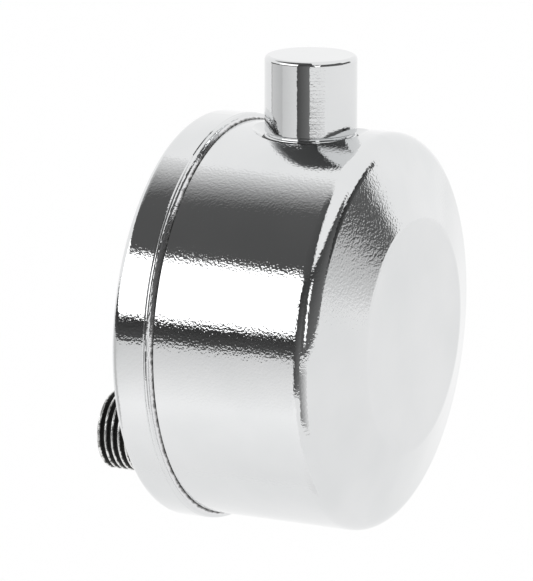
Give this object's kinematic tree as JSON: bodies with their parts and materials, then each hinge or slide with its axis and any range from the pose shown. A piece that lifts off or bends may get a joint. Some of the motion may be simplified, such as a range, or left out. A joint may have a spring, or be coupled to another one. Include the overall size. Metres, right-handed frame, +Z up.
{
  "type": "automatic air vent",
  "caption": "Automatic steam radiator air vent: round plated drum with a lipped rear cover, plain vent cap on top, low threaded nipple behind and a thermostatic float valve inside.",
  "frame": {"origin": "on the nipple's axis, in the plane of the rear cover's outer face", "axes": "+Z up along the vent cap, +Y out along the nipple towards the radiator, the closed front face towards -Y"},
  "size_m": [0.051, 0.0418, 0.0594],
  "materials": {
    "chromed_brass": "bright nickel-chrome plate on pressed brass, with a fine grain in the polish",
    "plated_thread": "dull nickel plate, darkened in the valleys of the thread",
    "solder": "soft solder, dull grey",
    "bare_brass": "unplated brass, slightly tarnished",
    "stainless": "turned stainless steel",
    "phosphor_bronze": "thin rolled bronze",
    "gasket": "brown fibre washer"
  },
  "bodies": {
    "root": {"front_casing": "chromed_brass", "rear_cover": "chromed_brass", "vent_cap": "chromed_brass", "seam_solder": "solder", "neck_solder": "solder", "nipple_solder": "solder", "threaded_nipple": "plated_thread", "siphon_tube": "bare_brass", "baffle_plate": "bare_brass", "vent_neck": "chromed_brass", "port_bush": "bare_brass", "port_gasket": "gasket", "splash_disc": "bare_brass", "needle_guide": "bare_brass", "float_rest": "bare_brass", "float_guide": "bare_brass"},
    "float": {"float_shell": "bare_brass", "float_base_ring": "bare_brass", "float_diaphragm": "phosphor_bronze", "float_charge_plug": "solder", "needle_valve": "stainless", "needle_lock_nut": "bare_brass"},
    "thrust_foot": {"diaphragm_foot": "stainless"}
  },
  "joints": [
    {"name": "float_lift", "type": "slide", "parent": "root", "child": "float", "axis": [0, 0, 1], "range_m": [0, 0.0015]},
    {"name": "diaphragm_push", "type": "slide", "parent": "float", "child": "thrust_foot", "axis": [0, 0, 1], "range_m": [-0.0015, 0], "deforming": ["float_diaphragm"]}
  ],
  "couplings": [
    {"joint": "diaphragm_push", "follows": "float_lift", "ratio": -1}
  ]
}
